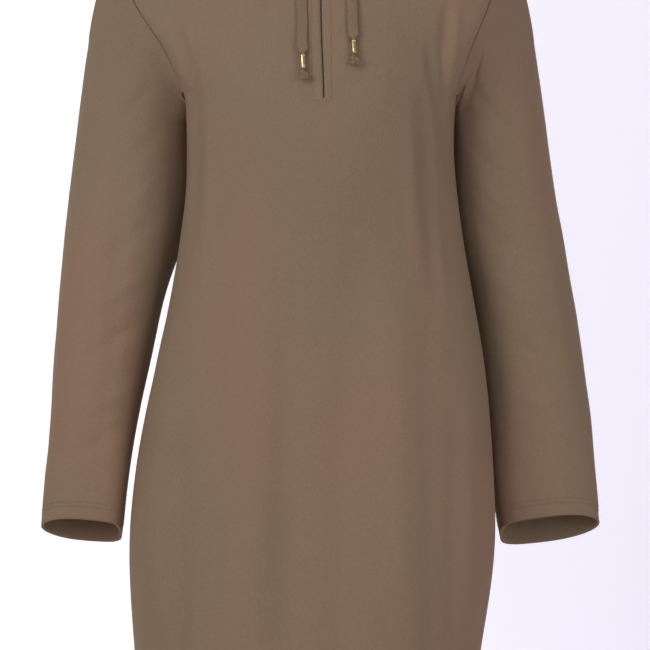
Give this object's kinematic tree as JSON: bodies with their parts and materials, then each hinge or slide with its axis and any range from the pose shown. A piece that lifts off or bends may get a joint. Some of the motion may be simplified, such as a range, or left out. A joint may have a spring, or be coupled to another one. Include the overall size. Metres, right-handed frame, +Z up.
{
  "type": "hooded tunic with a short zip",
  "caption": "Long hooded jersey tunic with a short zip at the neck, long sleeves and a flat drawcord with metal ends, filled out as if worn.",
  "frame": {"origin": "at the neck and shoulders that wear it: midway between the two side neck points, 15 mm in front of them", "axes": "+Z up, the front faces -Y, +X is on the viewer's right as the front is seen"},
  "size_m": [0.592, 0.2677, 1.278],
  "materials": {
    "jersey": "fine matt knit",
    "drawcord": "flat matt tape",
    "zip_tape": "matt woven tape",
    "metal": "polished light gold plate"
  },
  "bodies": {
    "root": {"back": "jersey", "barrel_left": "metal", "barrel_right": "metal", "cord_left": "drawcord", "cord_right": "drawcord", "eyelet_left": "metal", "eyelet_right": "metal", "front": "jersey", "hood_left": "jersey", "hood_right": "jersey", "knot_left": "drawcord", "knot_right": "drawcord", "sleeve_left": "jersey", "sleeve_right": "jersey", "zip_slider": "metal", "zip_tape": "zip_tape"},
    "pull": {"zip_pull": "metal"}
  },
  "joints": [
    {"name": "zip_pull_swing", "type": "hinge", "parent": "root", "child": "pull", "pos_m": [0.00297, -0.07809, -0.0909], "axis": [-1, 0, 0], "range_deg": [0, 150]}
  ]
}
